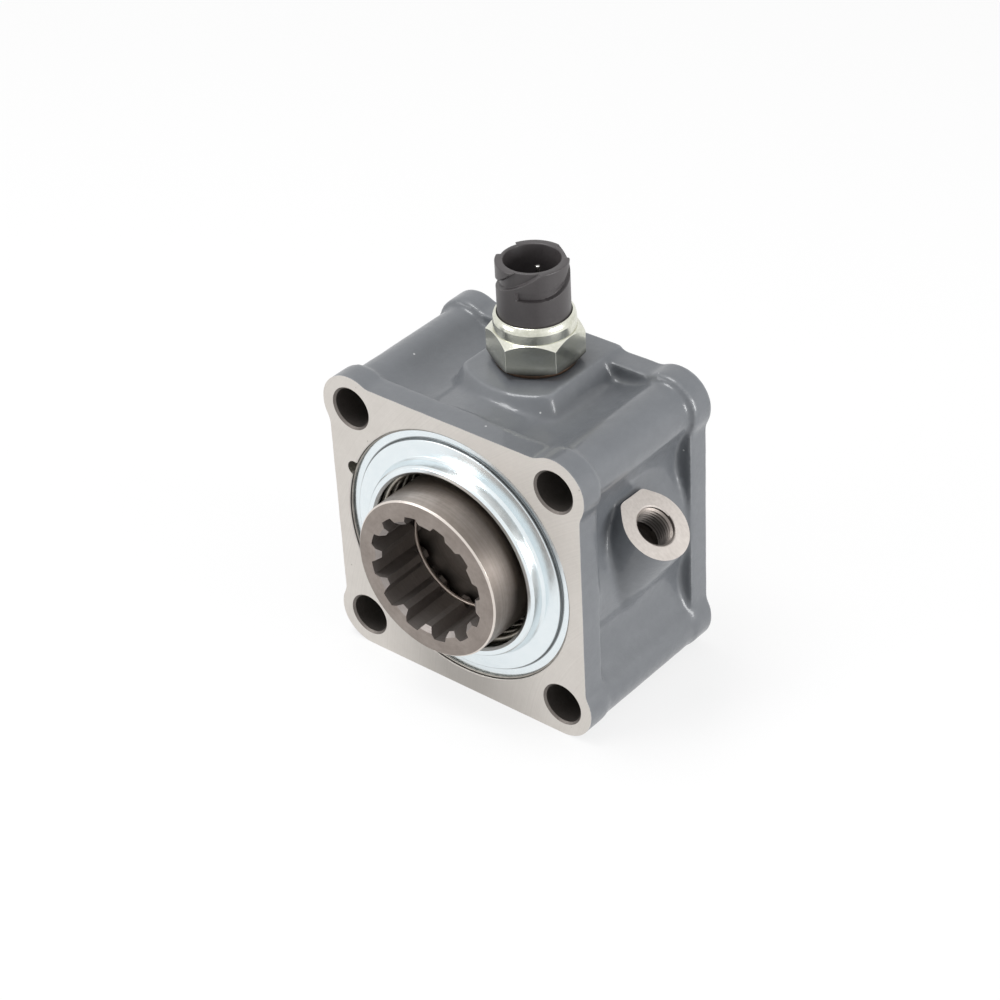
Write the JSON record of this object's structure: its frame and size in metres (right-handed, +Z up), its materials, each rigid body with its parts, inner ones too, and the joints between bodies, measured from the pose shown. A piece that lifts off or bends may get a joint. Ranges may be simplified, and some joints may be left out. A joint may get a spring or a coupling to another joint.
{
  "type": "power take off unit",
  "caption": "Square flanged cast housing with a splined sleeve that an air piston shifts, a rear pump face, a slanted air port and a switch on top.",
  "frame": {"origin": "on the gearbox face, straight below the shaft axis, 47 mm from it", "axes": "+X to the air port's side, +Y from the gearbox face to the pump face, +Z up to the switch"},
  "size_m": [0.1161, 0.0792, 0.1378],
  "materials": {
    "grey_paint": "satin dark grey paint on cast iron, bare on the milled faces",
    "zinc": "bright zinc plate on pressed steel",
    "machined_steel": "machined and hardened steel",
    "spring_steel": "oiled spring steel",
    "black_steel": "blackened spring steel",
    "bearing_steel": "ground bearing steel",
    "cage_steel": "pressed steel",
    "aluminium": "turned aluminium",
    "rubber": "black nitrile rubber",
    "yellow_zinc": "olive yellow passivated zinc",
    "copper": "soft copper",
    "plastic": "moulded dark plastic",
    "tinned": "tinned contact"
  },
  "bodies": {
    "housing": {"housing": "grey_paint", "spring_retainer": "zinc", "retainer_snap_ring": "black_steel", "return_spring": "spring_steel", "bearing_outer_race": "bearing_steel", "bearing_circlip": "black_steel", "switch_washer": "copper", "switch_body": "yellow_zinc", "switch_connector": "plastic", "switch_pin_1": "tinned", "switch_pin_2": "tinned"},
    "output": {"output_shaft": "machined_steel", "bearing_inner_race": "bearing_steel", "shaft_circlip": "black_steel"},
    "cage": {"bearing_cage": "cage_steel", "bearing_ball_1": "bearing_steel", "bearing_ball_2": "bearing_steel", "bearing_ball_3": "bearing_steel", "bearing_ball_4": "bearing_steel", "bearing_ball_5": "bearing_steel", "bearing_ball_6": "bearing_steel", "bearing_ball_7": "bearing_steel", "bearing_ball_8": "bearing_steel", "bearing_ball_9": "bearing_steel", "bearing_ball_10": "bearing_steel", "bearing_ball_11": "bearing_steel"},
    "sleeve": {"shift_sleeve": "machined_steel", "sleeve_front_ring": "spring_steel", "sleeve_rear_ring": "spring_steel", "sleeve_stop_ring": "spring_steel"},
    "piston": {"piston": "aluminium", "piston_outer_seal": "rubber", "piston_hub_seal": "rubber"}
  },
  "joints": [
    {"name": "output_shaft_spin", "type": "hinge", "parent": "housing", "child": "output", "pos_m": [0, 0.0463, 0.047], "axis": [0, 1, 0], "continuous": true},
    {"name": "cage_spin", "type": "hinge", "parent": "housing", "child": "cage", "pos_m": [0, 0.0463, 0.047], "axis": [0, 1, 0], "continuous": true},
    {"name": "piston_slide", "type": "slide", "parent": "housing", "child": "piston", "axis": [0, -1, 0], "range_m": [0, 0.008], "stiffness_N_per_m": 5000, "springref_m": -0.006, "deforming": ["return_spring"]},
    {"name": "sleeve_slide", "type": "slide", "parent": "output", "child": "sleeve", "axis": [0, -1, 0], "range_m": [0, 0.008]}
  ],
  "couplings": [
    {"joint": "cage_spin", "follows": "output_shaft_spin", "ratio": 0.4417},
    {"joint": "sleeve_slide", "follows": "piston_slide", "ratio": 1}
  ]
}
